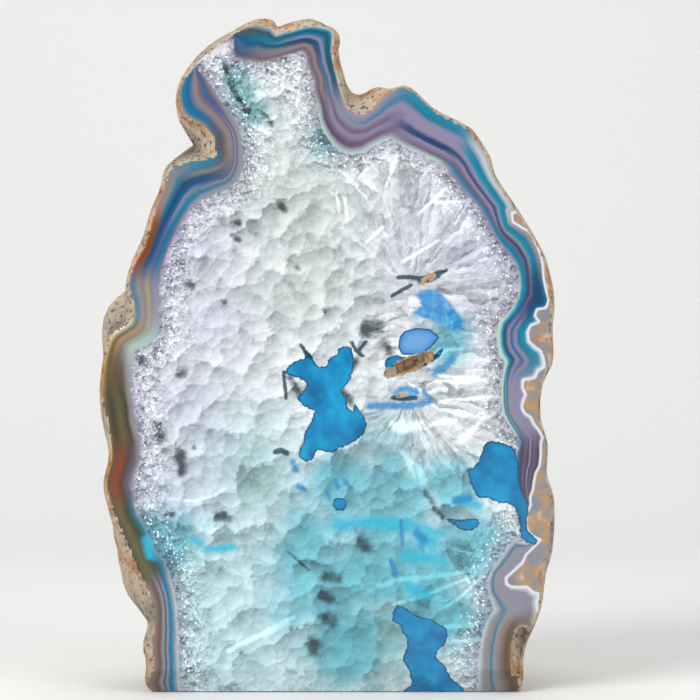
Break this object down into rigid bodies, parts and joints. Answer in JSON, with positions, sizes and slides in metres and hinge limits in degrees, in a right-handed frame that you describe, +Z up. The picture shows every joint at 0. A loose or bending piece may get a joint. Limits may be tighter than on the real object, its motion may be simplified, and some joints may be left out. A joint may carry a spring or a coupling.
{
  "type": "cut-base agate geode",
  "caption": "Half of a lumpy agate nodule with a flat polished face, standing on a flat sawn base; blue-green banding, white quartz inside, natural rind behind.",
  "frame": {"origin": "middle of the flat sawn base that the stone stands on", "axes": "+Z up, from the base to the head of the stone; the polished face looks towards -Y; +X to the right seen from the front"},
  "size_m": [0.115, 0.0576, 0.1695],
  "materials": {
    "geode": "polished face with teal-dyed agate bands round white quartz; rough ochre and grey rind behind"
  },
  "bodies": {
    "root": {"geode": "geode"}
  },
  "joints": []
}
